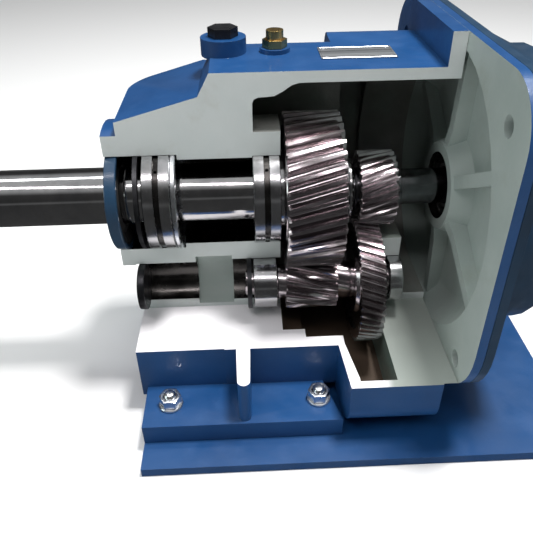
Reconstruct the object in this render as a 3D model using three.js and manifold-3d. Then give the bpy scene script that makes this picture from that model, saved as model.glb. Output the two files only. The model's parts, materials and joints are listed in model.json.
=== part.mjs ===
// Cutaway two-stage coaxial helical gear reducer on its base plate.
// Millimetres, +Z up, +X towards the input end. The origin is on the underside of the base plate,
// straight below the output axis. All shapes below are drawn in the axis frame, where Y = Z = 0 is
// the common axis of the output and input shafts, and one group lifts them to their height.
import * as THREE from 'three';
import { mergeVertices } from 'three/addons/utils/BufferGeometryUtils.js';
import Module from 'manifold-3d';

const wasm = await Module();
wasm.setup();

// ---------------------------------------------------------------- driving dimensions
const GAP = 0.3;                      // clearance kept between neighbouring pieces
const ROUND = 20;                     // sides of rings and shafts
const FINE = 36;                      // sides of the bores in the castings

const AXIS_HEIGHT = 207.5;            // output axis above the base plate's underside
const PLATE = { x0: -112, x1: 312, halfWidth: 173, thickness: 10 };
const PLATE_TOP = PLATE.thickness - AXIS_HEIGHT;

const CUT_Y = -20.5;                  // vertical cut, in front of the output axis
const CUT_Z = -126.5;                 // horizontal cut, below the layshaft

const CENTRE_DISTANCE = 96;           // both stages share it
const LAYSHAFT_ANGLE = THREE.MathUtils.degToRad(16.5);
const LAY_Y = -CENTRE_DISTANCE * Math.sin(LAYSHAFT_ANGLE);
const LAY_Z = -CENTRE_DISTANCE * Math.cos(LAYSHAFT_ANGLE);

const JOINT_X = 184;                  // face where the housing meets the input cover
const HOUSING_FLANGE = 13;            // thickness of the housing's own flange
const FLANGE = { halfWidth: 166, halfHeight: 152, topRadius: 48, lowRadius: 76, thickness: 8 };
const FLANGE_HOLE = { y: 128, z: 113, radius: 8.5 };
const RIB_COUNT = 6;                  // stiffening ribs inside the input cover

const FOOT = { x0: -112, xBack: 68, xFront: 82, halfWidth: 142, thickness: 22 };
const WALL_Y = 89;                    // half width of the narrow part of the case
const WIDE_Y = 148;                   // half width of the input part of the case
const CASE_TOP = 123;
const CASE_BOTTOM = -186;
const CHAMBER_TOP = 113;               // underside of the roof

const STUD_RADIUS = 6;
const STUD_X = [-86, 61];
const STUD_Y = 114;
const NUT = { flats: 19, height: 10 };
const WASHER = { radius: 12, thickness: 2.5 };

const PRESSURE_ANGLE = THREE.MathUtils.degToRad(20);
const TOOTH_THINNING = 0.34;          // taken off each tooth at the pitch circle, for backlash
const OUTPUT_STAGE = { module: 3.6, helix: THREE.MathUtils.degToRad(15), shift: 0.4 };
const INPUT_STAGE = { module: 2.55, helix: THREE.MathUtils.degToRad(20), shift: 0.4 };

// axial places of the parts on each shaft: [start, end]
const OUTPUT_GEAR_X = [33, 86];
const LAY_PINION_X = [33, 85];
const WHEEL_X = [102, 125.5];
const INPUT_PINION_X = [104.5, 139.5];
const OUTER_BEARING_X = [-98, -72.5];
const INNER_BEARING_X = [3, 28];
const LAY_LEFT_BEARING_X = [0.5, 24];
const LAY_RIGHT_BEARING_X = [138, 151];
const INPUT_BEARING_X = [192, 212];

// bores of the castings
const OUTER_BORE = 54.5;
const MIDDLE_BORE = 50;
const INNER_BORE = 51.5;
const LAY_BORE = 26.8;
const LAY_RIGHT_BORE = 24.5;
const HUB_BORE = 33;
const MOTOR_MOUTH = 100;

// shafts
const SHAFT_EXTENSION = { x0: -275, radius: 27.5 };
const KEY = { x0: -268, x1: -158, width: 16, height: 10, depth: 6 };
const OUTPUT_JOURNAL = 29.5;
const GEAR_SEAT = 34;
const LAY_JOURNAL = 13;
const LAY_NECK = 20;
const INPUT_SHAFT = 17.5;

// ---------------------------------------------------------------- finishes
const FINISH = {
  bluePaint: { color: 0x1f5c9e, roughness: 0.45, metalness: 0.1 },
  casting: { color: 0xb4bab8, roughness: 0.6, metalness: 0.1 },
  polished: { color: 0xb9b9bb, roughness: 0.18, metalness: 1 },
  gearSteel: { color: 0x9a9590, roughness: 0.3, metalness: 1 },
  bearingSteel: { color: 0xa8a8aa, roughness: 0.25, metalness: 1 },
  zinc: { color: 0xc4c6c8, roughness: 0.35, metalness: 1 },
  blackSteel: { color: 0x2a2a2c, roughness: 0.5, metalness: 0.8 },
  brass: { color: 0xb08a3c, roughness: 0.35, metalness: 1 },
  rubber: { color: 0x18191b, roughness: 0.8, metalness: 0 },
  plate: { color: 0xb7bcc0, roughness: 0.4, metalness: 0.9 },
};

// ---------------------------------------------------------------- geometry helpers
function closed(geometry) {
  const bare = geometry.clone();
  bare.deleteAttribute('normal');
  bare.deleteAttribute('uv');
  const merged = mergeVertices(bare, 1e-4);
  const source = merged.index.array;
  const kept = [];
  for (let i = 0; i < source.length; i += 3) {
    const [a, b, c] = [source[i], source[i + 1], source[i + 2]];
    if (a !== b && b !== c && c !== a) kept.push(a, b, c);
  }
  if (signedVolume(merged.attributes.position, kept) < 0) kept.reverse();
  merged.setIndex(kept);
  return merged;
}

function signedVolume(position, index) {
  const [a, b, c] = [new THREE.Vector3(), new THREE.Vector3(), new THREE.Vector3()];
  let sum = 0;
  for (let i = 0; i < index.length; i += 3) {
    a.fromBufferAttribute(position, index[i]);
    b.fromBufferAttribute(position, index[i + 1]);
    c.fromBufferAttribute(position, index[i + 2]);
    sum += a.dot(b.cross(c));
  }
  return sum;
}

function solid(geometry) {
  const shape = closed(geometry);
  return new wasm.Manifold(new wasm.Mesh({
    numProp: 3,
    vertProperties: new Float32Array(shape.attributes.position.array),
    triVerts: new Uint32Array(shape.index.array),
  }));
}

function toGeometry(manifold) {
  const mesh = manifold.getMesh();
  const geometry = new THREE.BufferGeometry();
  geometry.setAttribute('position', new THREE.BufferAttribute(new Float32Array(mesh.vertProperties), 3));
  geometry.setIndex(new THREE.BufferAttribute(new Uint32Array(mesh.triVerts), 1));
  return geometry;
}

function join(...geometries) {
  return toGeometry(geometries.map(solid).reduce((sum, next) => sum.add(next)));
}

function cut(geometry, ...tools) {
  return toGeometry(tools.map(solid).reduce((rest, tool) => rest.subtract(tool), solid(geometry)));
}

function box(x0, x1, y0, y1, z0, z1) {
  const geometry = new THREE.BoxGeometry(x1 - x0, y1 - y0, z1 - z0);
  return geometry.translate((x0 + x1) / 2, (y0 + y1) / 2, (z0 + z1) / 2);
}

// A profile of [x, radius] points turned about the X axis through (y, z).
function turned(profile, y = 0, z = 0, sides = ROUND) {
  const points = profile.map(([x, radius]) => new THREE.Vector2(radius, x));
  const closesOnAxis = profile[0][1] === 0 && profile.at(-1)[1] === 0;
  if (!closesOnAxis) points.push(points[0].clone());
  return new THREE.LatheGeometry(points, sides).rotateZ(-Math.PI / 2).translate(0, y, z);
}

function rod(x0, x1, radius, y = 0, z = 0, sides = ROUND) {
  return turned([[x0, 0], [x0, radius], [x1, radius], [x1, 0]], y, z, sides);
}

function ring(x0, x1, inner, outer, y = 0, z = 0, sides = ROUND) {
  return turned([[x0, inner], [x0, outer], [x1, outer], [x1, inner]], y, z, sides);
}

function shapeOf(points, holes = []) {
  const shape = new THREE.Shape(points.map(([u, v]) => new THREE.Vector2(u, v)));
  for (const hole of holes) shape.holes.push(new THREE.Path(hole.map(([u, v]) => new THREE.Vector2(u, v))));
  return shape;
}

function extrude(shape, depth, steps = 1) {
  return new THREE.ExtrudeGeometry(shape, { depth, steps, bevelEnabled: false, curveSegments: 5 });
}

// A shape drawn in (y, z), swept from x0 to x1.
function alongX(shape, x0, x1, steps = 1) {
  const turn = new THREE.Matrix4().makeBasis(
    new THREE.Vector3(0, 1, 0), new THREE.Vector3(0, 0, 1), new THREE.Vector3(1, 0, 0));
  return extrude(shape, x1 - x0, steps).applyMatrix4(turn).translate(x0, 0, 0);
}

// A shape drawn in (x, z), swept from y0 to y1.
function alongY(shape, y0, y1) {
  return extrude(shape, y1 - y0).rotateX(Math.PI / 2).translate(0, y1, 0);
}

// A shape drawn in (x, y), swept from z0 to z1.
function alongZ(shape, z0, z1) {
  return extrude(shape, z1 - z0).translate(0, 0, z0);
}

function roundedOutline(halfWidth, low, high, lowRadius, topRadius) {
  const shape = new THREE.Shape();
  shape.moveTo(-halfWidth + lowRadius, low);
  shape.lineTo(halfWidth - lowRadius, low);
  shape.absarc(halfWidth - lowRadius, low + lowRadius, lowRadius, -Math.PI / 2, 0);
  shape.absarc(halfWidth - topRadius, high - topRadius, topRadius, 0, Math.PI / 2);
  shape.absarc(-halfWidth + topRadius, high - topRadius, topRadius, Math.PI / 2, Math.PI);
  shape.absarc(-halfWidth + lowRadius, low + lowRadius, lowRadius, Math.PI, 1.5 * Math.PI);
  return shape;
}

function circlePoints(radius, sides) {
  const points = [];
  for (let i = 0; i < sides; i++) {
    const angle = -(2 * Math.PI * i) / sides;
    points.push([radius * Math.cos(angle), radius * Math.sin(angle)]);
  }
  return points;
}

function hexPrism(flats, height, x, y, z) {
  return new THREE.CylinderGeometry(flats / Math.sqrt(3), flats / Math.sqrt(3), height, 6)
    .rotateX(Math.PI / 2).rotateZ(Math.PI / 2).translate(x, y, z + height / 2);
}

function upright(radius, z0, z1, x, y, sides = 16) {
  return new THREE.CylinderGeometry(radius, radius, z1 - z0, sides)
    .rotateX(Math.PI / 2).translate(x, y, (z0 + z1) / 2);
}

// ---------------------------------------------------------------- gears
const involute = (angle) => Math.tan(angle) - angle;

function gearData(teeth, stage, shiftSign) {
  const transverseModule = stage.pairModule;
  const pitch = (transverseModule * teeth) / 2;
  const alpha = Math.atan(Math.tan(PRESSURE_ANGLE) / Math.cos(stage.helix));
  const shift = shiftSign * stage.shift * stage.module;
  const thickness = (Math.PI * transverseModule) / 2 + 2 * shift * Math.tan(alpha) - TOOTH_THINNING;
  const base = pitch * Math.cos(alpha);
  return { teeth, pitch, alpha, base, thickness,
    tip: pitch + stage.module + shift,
    root: pitch - 1.25 * stage.module + shift };
}

function halfAngle(data, radius) {
  const local = Math.acos(Math.min(1, data.base / Math.max(radius, data.base)));
  return data.thickness / (2 * data.pitch) + involute(data.alpha) - involute(local);
}

// Outline of the teeth in (y, z), with one tooth centred on the angle phase.
function gearOutline(data, phase, radii) {
  const points = [];
  for (let tooth = 0; tooth < data.teeth; tooth++) {
    const centre = phase + (2 * Math.PI * tooth) / data.teeth;
    const flank = radii.map((radius) => [radius, halfAngle(data, radius)]);
    const rising = flank.map(([radius, half]) => [radius, centre - half]);
    const falling = flank.toReversed().map(([radius, half]) => [radius, centre + half]);
    for (const [radius, angle] of [...rising, ...falling]) {
      points.push([radius * Math.cos(angle), radius * Math.sin(angle)]);
    }
  }
  return points;
}

// Helical gear: the outline turns with X, one way or the other, about the middle of the mesh.
function helicalGear(data, stage, hand, phase, span, y, z, steps, radii, bore = 0) {
  const hole = bore > 0 ? [circlePoints(bore, ROUND)] : [];
  const shape = shapeOf(gearOutline(data, phase, radii), hole);
  const geometry = alongX(shape, span[0], span[1], steps);
  const middle = (span[0] + span[1]) / 2;
  const perLength = (hand * Math.tan(stage.helix)) / data.pitch;
  const position = geometry.attributes.position;
  const point = new THREE.Vector3();
  const axis = new THREE.Vector3(1, 0, 0);
  for (let i = 0; i < position.count; i++) {
    point.fromBufferAttribute(position, i);
    point.applyAxisAngle(axis, perLength * (point.x - middle));
    position.setXYZ(i, point.x, point.y, point.z);
  }
  return geometry.translate(0, y, z);
}

OUTPUT_STAGE.pairModule = (2 * CENTRE_DISTANCE) / (39 + 12);
INPUT_STAGE.pairModule = (2 * CENTRE_DISTANCE) / (25 + 47);
const OUTPUT_GEAR = gearData(39, OUTPUT_STAGE, -1);
const LAY_PINION = gearData(12, OUTPUT_STAGE, 1);
const INPUT_PINION = gearData(25, INPUT_STAGE, 1);
const WHEEL = gearData(47, INPUT_STAGE, -1);
const TO_LAYSHAFT = Math.atan2(LAY_Z, LAY_Y);
const TO_CENTRE = TO_LAYSHAFT + Math.PI;

function outputGear() {
  const data = OUTPUT_GEAR;
  return helicalGear(data, OUTPUT_STAGE, -1, TO_LAYSHAFT, OUTPUT_GEAR_X, 0, 0, 3,
    [data.root, data.tip], GEAR_SEAT + 0.7);
}

function inputPinion() {
  const data = INPUT_PINION;
  return helicalGear(data, INPUT_STAGE, -1, TO_LAYSHAFT, INPUT_PINION_X, 0, 0, 3,
    [data.root, data.tip], INPUT_SHAFT + 0.6);
}

// The wheel's twist is counted from the middle of the pinion that it meets.
function intermediateWheel() {
  const data = WHEEL;
  const pinionMiddle = (INPUT_PINION_X[0] + INPUT_PINION_X[1]) / 2;
  const wheelMiddle = (WHEEL_X[0] + WHEEL_X[1]) / 2;
  const lead = Math.tan(INPUT_STAGE.helix) / data.pitch;
  const phase = TO_CENTRE + Math.PI / data.teeth + lead * (wheelMiddle - pinionMiddle);
  return helicalGear(data, INPUT_STAGE, 1, phase, WHEEL_X, LAY_Y, LAY_Z, 2,
    [data.root, data.tip], LAY_NECK + 0.6);
}

function layshaftTeeth() {
  const data = LAY_PINION;
  const gearMiddle = (OUTPUT_GEAR_X[0] + OUTPUT_GEAR_X[1]) / 2;
  const pinionMiddle = (LAY_PINION_X[0] + LAY_PINION_X[1]) / 2;
  const lead = Math.tan(OUTPUT_STAGE.helix) / data.pitch;
  const phase = TO_CENTRE + Math.PI / data.teeth + lead * (pinionMiddle - gearMiddle);
  return helicalGear(data, OUTPUT_STAGE, 1, phase, LAY_PINION_X, LAY_Y, LAY_Z, 5,
    [data.root, (data.base + data.pitch) / 2, data.tip]);
}

// ---------------------------------------------------------------- housing
function flangeOutline() {
  return roundedOutline(FLANGE.halfWidth, -FLANGE.halfHeight, FLANGE.halfHeight,
    FLANGE.lowRadius, FLANGE.topRadius);
}

function footPlan() {
  return shapeOf([[FOOT.x0, -FOOT.halfWidth], [FOOT.xFront, -FOOT.halfWidth], [FOOT.xBack, -WALL_Y],
    [FOOT.xBack, WALL_Y], [FOOT.xFront, FOOT.halfWidth], [FOOT.x0, FOOT.halfWidth]]);
}

// The bearing end of the case seen from above, with its rear corner rounded.
function bodyPlan() {
  const corner = 22;
  const shape = new THREE.Shape();
  shape.moveTo(-20, -WALL_Y);
  shape.lineTo(-20, WALL_Y);
  shape.lineTo(-118 + corner, WALL_Y);
  shape.absarc(-118 + corner, WALL_Y - corner, corner, Math.PI / 2, Math.PI);
  shape.lineTo(-118, -WALL_Y);
  return shape;
}

// A rib stands out from the wall between the foot studs and ends in a half round.
function ribPlan() {
  const shape = new THREE.Shape();
  shape.moveTo(-5.5, -WALL_Y + 2);
  shape.lineTo(-19.5, -WALL_Y + 2);
  shape.lineTo(-18.5, -133.5);
  shape.absarc(-12.5, -133.5, 6, Math.PI, 2 * Math.PI);
  return shape;
}

// A shape in (x, y) swept from z0 to z1, and the same again on the far side of the case.
function bothSides(shape, z0, z1) {
  const near = alongZ(shape, z0, z1);
  return [near, closed(near).clone().scale(1, -1, 1)];
}

function housingOutside() {
  const footBottom = PLATE_TOP + GAP;
  const nose = rod(-132, -110, 73, 0, 0, FINE);
  const aboveSlope = shapeOf([[-125, 82], [-117, 82.5], [-43, 103], [-30, 103], [-30, 140], [-125, 140]]);
  const bearingBody = cut(alongZ(bodyPlan(), CASE_BOTTOM, 110), alongY(aboveSlope, -100, 100));
  const middle = alongX(roundedOutline(WALL_Y + 1, CASE_BOTTOM, CASE_TOP, 12, 26), -31, 88);
  const step = alongY(shapeOf([[-43, 95], [-43, 103], [-32, CASE_TOP], [-20, CASE_TOP], [-20, 95]]), -50, 50);
  const wideOutline = roundedOutline(WIDE_Y, CASE_BOTTOM, CASE_TOP, 30, 50);
  const wide = cut(alongX(wideOutline, 82, JOINT_X - HOUSING_FLANGE),
    ...bothSides(shapeOf([[81, -90], [82, -90], [86, -149], [81, -149]]), -200, 130));
  const flange = alongX(flangeOutline(), JOINT_X - HOUSING_FLANGE, JOINT_X);
  const foot = alongZ(footPlan(), footBottom, footBottom + FOOT.thickness);
  const ribs = bothSides(ribPlan(), footBottom + FOOT.thickness - 1, -60);
  const fillerBoss = upright(21, CASE_TOP - 2, CASE_TOP + 14, -20, 42, 20);
  const breatherBoss = upright(14, CASE_TOP - 2, CASE_TOP + 4, 27, 40);
  return join(nose, bearingBody, middle, step, wide, flange, foot, ...ribs, fillerBoss, breatherBoss);
}

function chamberProfile() {
  return shapeOf([[51, -100], [51, -172], [97, -172], [97, CHAMBER_TOP], [45, CHAMBER_TOP], [38, 111],
    [31, 106], [23, 102], [9, 101], [5.5, 99.5], [4, 96], [4, 0], [28.5, 0], [28.5, -100]]);
}

function housingCavities() {
  const bearingBoss = rod(3, 28.5, 73, 0, 0, FINE);
  const gearChamber = cut(alongY(chamberProfile(), -76, 76), bearingBoss);
  const shelf = box(28.5, 52, -64, 64, -150, -90);
  const wheelChamber = alongX(roundedOutline(139.5, -172, CHAMBER_TOP, 24, 45), 95.5, 130);
  const corners = bothSides(shapeOf([[88.5, -72], [88.5, -88], [96, -139], [96, -72]]), -172, -20);
  const roof = box(120, JOINT_X + 2, -140, 140, CHAMBER_TOP, 140);
  const opening = rod(129, JOINT_X + 1, 132, 0, 0, FINE);
  const bearingWall = box(120, LAY_RIGHT_BEARING_X[1], -140, 140, -140, -47);
  const ledge = box(120, JOINT_X + 2, -140, 140, -140, -118);
  return [gearChamber, shelf, wheelChamber, ...corners, cut(opening, bearingWall, ledge, roof)];
}

function housingBores() {
  return [
    rod(-133, -66, OUTER_BORE, 0, 0, FINE),
    rod(-67, 4, MIDDLE_BORE, 0, 0, FINE),
    rod(INNER_BEARING_X[0] - GAP, 40, INNER_BORE, 0, 0, FINE),
    rod(-119, -57, 24.5, LAY_Y, LAY_Z, FINE),
    rod(-58, -21, 31, LAY_Y, LAY_Z, FINE),
    rod(-22, 40, LAY_BORE, LAY_Y, LAY_Z, FINE),
    rod(120, 180, LAY_RIGHT_BORE, LAY_Y, LAY_Z, FINE),
  ];
}

function footHoles(low, high) {
  return STUD_X.flatMap((x) => [-STUD_Y, STUD_Y].map((y) => upright(STUD_RADIUS + 0.8, low, high, x, y)));
}

function flangeHoles(x0, x1, radius, sides = 16) {
  return [-1, 1].flatMap((sideY) => [-1, 1].map((sideZ) =>
    rod(x0, x1, radius, sideY * FLANGE_HOLE.y, sideZ * FLANGE_HOLE.z, sides)));
}

function gearHousing() {
  const cutter = box(-200, JOINT_X + 5, -300, CUT_Y, CUT_Z, 300);
  const footTop = PLATE_TOP + FOOT.thickness + 5;
  return cut(housingOutside(), ...housingCavities(), ...housingBores(),
    ...footHoles(PLATE_TOP - 5, footTop), ...flangeHoles(JOINT_X - 20, JOINT_X + 2, FLANGE_HOLE.radius),
    upright(11.4, CASE_TOP - 20, CASE_TOP + 20, -20, 42), upright(8.4, CASE_TOP - 20, CASE_TOP + 20, 27, 40),
    rod(-40, 40, 8.4, 0, 0, 16).rotateZ(Math.PI / 2).translate(60, 90, -110), cutter);
}

// ---------------------------------------------------------------- input cover and motor adapter
function inputCover() {
  const face = JOINT_X + GAP;
  const back = face + FLANGE.thickness;
  const plate = cut(alongX(flangeOutline(), face, back), rod(face - 1, back + 1, 138, 0, 0, FINE));
  const dish = turned([[face, 142], [back + 1, 142], [212, 124], [214, 118], [214, 54], [228, 52],
    [228, HUB_BORE], [face + 1, HUB_BORE], [face + 1, 43], [205, 50], [205, 112], [203, 120],
    [face, 138.5]], 0, 0, FINE);
  const ribs = [];
  const outline = shapeOf([[face + 3, 40], [face + 6, 60], [face + 8, 132], [210, 124], [210, 40]]);
  for (let i = 0; i < RIB_COUNT; i++) {
    ribs.push(alongY(outline, -6, 6).rotateX((i * 2 * Math.PI) / RIB_COUNT));
  }
  return cut(join(plate, dish, ...ribs), rod(face - 1, 229, HUB_BORE, 0, 0, FINE),
    ...flangeHoles(face - 1, back + 1, FLANGE_HOLE.radius));
}

function motorAdapter() {
  const face = JOINT_X + 2 * GAP + FLANGE.thickness;
  const back = face + FLANGE.thickness;
  const plate = cut(alongX(flangeOutline(), face, back), rod(face - 1, back + 1, 146, 0, 0, FINE));
  const cone = turned([[face, 145], [face, 149], [back, 150], [238, 132], [252, 132],
    [252, MOTOR_MOUTH], [241, MOTOR_MOUTH], [241, 118], [236, 121]], 0, 0, FINE);
  return cut(join(plate, cone), ...flangeHoles(face - 1, back + 1, FLANGE_HOLE.radius));
}

// ---------------------------------------------------------------- bearings, seals and rings
function groovedRing(span, inner, outer) {
  const middle = (span[0] + span[1]) / 2;
  const half = 2.6;
  return turned([[span[0], inner], [span[0], outer], [middle - half, outer], [middle - half, outer - 1.6],
    [middle + half, outer - 1.6], [middle + half, outer], [span[1], outer], [span[1], inner]]);
}

// Cage with its rollers, drawn as one fluted ring.
function rollerSet(span, inner, outer, count, y = 0, z = 0) {
  const points = [];
  for (let i = 0; i < 2 * count; i++) {
    const radius = i % 2 === 0 ? outer : outer - 1.5;
    const angle = (Math.PI * i) / count;
    points.push([radius * Math.cos(angle), radius * Math.sin(angle)]);
  }
  const shape = shapeOf(points, [circlePoints(inner, ROUND)]);
  return alongX(shape, span[0] + 2, span[1] - 2).translate(0, y, z);
}

// The bearings on the common axis have an oil groove round the outer ring.
function bearing(span, bore, outer, count, y = 0, z = 0) {
  const grooved = y === 0;
  const depth = outer - bore;
  const innerEdge = bore + 0.27 * depth;
  const outerEdge = outer - 0.27 * depth;
  return {
    outer: grooved ? groovedRing(span, outerEdge, outer) : ring(...span, outerEdge, outer, y, z),
    inner: ring(...span, bore, innerEdge, y, z),
    rollers: rollerSet(span, innerEdge + 0.5, outerEdge - 1.3, count, y, z),
  };
}

function outputSealCase() {
  return turned([[-131.5, 38], [-131.5, 52.5], [-120.5, 53.6], [-120.5, 49], [-128, 49], [-128, 38]]);
}

function outputSealLip() {
  return turned([[-127.5, SHAFT_EXTENSION.radius + 1.2], [-127.5, 48], [-121.5, 48], [-121.5, 44], [-125, 36],
    [-122.5, SHAFT_EXTENSION.radius + 1.2]]);
}

// ---------------------------------------------------------------- shafts
function outputShaft() {
  const extension = SHAFT_EXTENSION;
  const keyway = box(KEY.x0, KEY.x1, extension.radius - KEY.depth, 40, -KEY.width / 2, KEY.width / 2);
  const core = turned([[extension.x0, 0], [extension.x0, extension.radius - 2],
    [extension.x0 + 2, extension.radius], [-119, extension.radius], [-117, OUTPUT_JOURNAL],
    [28.3, OUTPUT_JOURNAL], [28.3, 38], [32.7, 38], [32.7, GEAR_SEAT], [91, GEAR_SEAT], [91, 32],
    [93.2, 32], [93.2, GEAR_SEAT], [97, GEAR_SEAT - 2], [97, 0]]);
  return cut(core, keyway);
}

// The key stands on the far side of the shaft, away from the cut.
function outputKey() {
  const low = SHAFT_EXTENSION.radius - KEY.depth + GAP;
  return box(KEY.x0 + GAP, KEY.x1 - GAP, low, low + KEY.height, -KEY.width / 2 + GAP, KEY.width / 2 - GAP);
}

function layshaft() {
  const core = turned([[-8, 0], [-8, LAY_JOURNAL - 1], [-7, LAY_JOURNAL], [25, LAY_JOURNAL], [25, 18],
    [LAY_PINION_X[0] + 1, 18], [LAY_PINION_X[1] - 1, LAY_NECK], [126, LAY_NECK], [126, 18.6],
    [128, 18.6], [128, LAY_NECK], [130, LAY_NECK - 1], [137, LAY_JOURNAL], [153, LAY_JOURNAL],
    [154, LAY_JOURNAL - 1], [154, 0]], LAY_Y, LAY_Z);
  return join(core, layshaftTeeth());
}

function inputShaft() {
  return turned([[98, 0], [98, INPUT_SHAFT - 1], [99, INPUT_SHAFT], [101.2, INPUT_SHAFT], [101.2, 16.2],
    [103.4, 16.2], [103.4, INPUT_SHAFT], [140.2, INPUT_SHAFT], [140.2, 20], [146, 20], [146, INPUT_SHAFT],
    [INPUT_BEARING_X[1] + 1, INPUT_SHAFT], [INPUT_BEARING_X[1] + 1, 15.5], [245, 15.5], [247, 14], [247, 0]]);
}

// ---------------------------------------------------------------- assembly
const reducer = new THREE.Group();
reducer.position.z = AXIS_HEIGHT;

function add(name, geometry, finish) {
  const mesh = new THREE.Mesh(closed(geometry), new THREE.MeshStandardMaterial(FINISH[finish]));
  mesh.geometry.computeVertexNormals();
  mesh.name = name;
  reducer.add(mesh);
}

function addBearing(name, parts) {
  add(`${name}_outer_ring`, parts.outer, 'bearingSteel');
  add(`${name}_inner_ring`, parts.inner, 'bearingSteel');
  add(`${name}_rollers`, parts.rollers, 'bearingSteel');
}

function addCastings() {
  const plate = box(PLATE.x0, PLATE.x1, -PLATE.halfWidth, PLATE.halfWidth, -AXIS_HEIGHT, PLATE_TOP);
  add('base_plate', cut(plate, ...footHoles(-AXIS_HEIGHT - 1, PLATE_TOP + 1)), 'bluePaint');
  add('gear_housing', gearHousing(), 'casting');
  add('input_cover', inputCover(), 'casting');
  add('motor_adapter', motorAdapter(), 'bluePaint');
}

function addOutputLine() {
  const leftFit = OUTER_BORE - 0.5;
  add('output_seal_case', outputSealCase(), 'bluePaint');
  add('output_seal_lip', outputSealLip(), 'rubber');
  add('output_snap_ring', ring(-105.5, -101.5, 47, leftFit), 'blackSteel');
  addBearing('outboard_bearing', bearing(OUTER_BEARING_X, OUTPUT_JOURNAL + 0.6, leftFit, 12));
  add('spacer_ring', ring(-72, -67.5, 46, leftFit), 'zinc');
  addBearing('inboard_bearing', bearing(INNER_BEARING_X, OUTPUT_JOURNAL + 0.6, INNER_BORE - 0.5, 12));
  add('output_shaft', outputShaft(), 'polished');
  add('output_key', outputKey(), 'zinc');
  add('output_gear', outputGear(), 'gearSteel');
  add('gear_retaining_ring', ring(91.3, 92.9, 32.5, 39), 'blackSteel');
}

function addLayshaftLine() {
  add('layshaft_bore_cap', rod(-117, -109, 24, LAY_Y, LAY_Z), 'blackSteel');
  add('layshaft_snap_ring', ring(-6, -1.5, 19, LAY_BORE - 0.5, LAY_Y, LAY_Z), 'blackSteel');
  addBearing('layshaft_left_bearing',
    bearing(LAY_LEFT_BEARING_X, LAY_JOURNAL + 0.5, LAY_BORE - 0.5, 10, LAY_Y, LAY_Z));
  addBearing('layshaft_right_bearing',
    bearing(LAY_RIGHT_BEARING_X, LAY_JOURNAL + 0.5, LAY_RIGHT_BORE - 0.5, 10, LAY_Y, LAY_Z));
  add('layshaft', layshaft(), 'gearSteel');
  add('intermediate_wheel', intermediateWheel(), 'gearSteel');
  add('wheel_retaining_ring', ring(126.3, 127.7, 19, 24, LAY_Y, LAY_Z), 'blackSteel');
}

function addInputLine() {
  addBearing('input_bearing', bearing(INPUT_BEARING_X, INPUT_SHAFT + 0.6, HUB_BORE - 0.5, 9));
  add('input_seal', ring(216, 224, 16.8, HUB_BORE - 0.5), 'rubber');
  add('input_shaft', inputShaft(), 'polished');
  add('input_pinion', inputPinion(), 'gearSteel');
  add('pinion_retaining_ring', ring(101.5, 103.1, 16.7, 21), 'blackSteel');
}

function addFootFasteners() {
  const footTop = PLATE_TOP + GAP + FOOT.thickness;
  const nutBase = footTop + WASHER.thickness + 2 * GAP;
  const studTop = nutBase + NUT.height + 4;
  let index = 0;
  for (const y of [-STUD_Y, STUD_Y]) {
    for (const x of STUD_X) {
      index += 1;
      const washer = cut(upright(WASHER.radius, footTop + GAP, footTop + GAP + WASHER.thickness, x, y, 20),
        upright(STUD_RADIUS + 0.6, footTop - 1, footTop + 5, x, y));
      const nut = cut(hexPrism(NUT.flats, NUT.height, x, y, nutBase),
        upright(STUD_RADIUS + 0.5, nutBase - 1, nutBase + NUT.height + 1, x, y));
      add(`foot_stud_${index}`, upright(STUD_RADIUS, -AXIS_HEIGHT + 0.5, studTop, x, y), 'zinc');
      add(`foot_washer_${index}`, washer, 'zinc');
      add(`foot_nut_${index}`, nut, 'zinc');
    }
  }
}

function addFlangeBolts() {
  const headFace = JOINT_X + 3 * GAP + 2 * FLANGE.thickness;
  const names = ['flange_bolt_lower', 'flange_bolt_upper'];
  [-1, 1].forEach((sideZ, i) => {
    const z = sideZ * FLANGE_HOLE.z;
    const shank = rod(JOINT_X - 11, headFace + 1, 7.5, FLANGE_HOLE.y, z, 16);
    const head = new THREE.CylinderGeometry(24 / Math.sqrt(3), 24 / Math.sqrt(3), 10, 6).rotateZ(Math.PI / 2)
      .translate(headFace + 5, FLANGE_HOLE.y, z);
    add(names[i], join(shank, head), 'zinc');
  });
}

function addPlugs() {
  const bossTop = CASE_TOP + 14 + GAP;
  const filler = join(upright(10.6, bossTop - 14, bossTop + 1, -20, 42), hexPrism(24, 8, -20, 42, bossTop));
  add('filler_plug', filler, 'blackSteel');
  const seat = CASE_TOP + 4 + GAP;
  add('breather_plug', join(upright(7.6, seat - 12, seat + 1, 27, 40), hexPrism(20, 7, 27, 40, seat),
    upright(8, seat + 6, seat + 15, 27, 40)), 'brass');
  const level = join(rod(0, 13, 7.6, 0, 0, 16), new THREE.CylinderGeometry(12, 12, 8, 6).rotateZ(Math.PI / 2)
    .translate(16.3, 0, 0));
  add('oil_level_plug', level.rotateZ(Math.PI / 2).translate(60, WALL_Y + 1 - 12, -110), 'blackSteel');
  add('name_plate', box(67, 135, 10, 46, CASE_TOP + GAP, CASE_TOP + GAP + 1.2), 'plate');
}

addCastings();
addOutputLine();
addLayshaftLine();
addInputLine();
addFootFasteners();
addFlangeBolts();
addPlugs();

const part = new THREE.Group();
part.add(reducer);
export default part;
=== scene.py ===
"""Looks for the cutaway helical gear reducer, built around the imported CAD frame. Metres, +Z up."""
import json
import math

import bmesh
import bpy
from mathutils import Matrix, Vector


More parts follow.
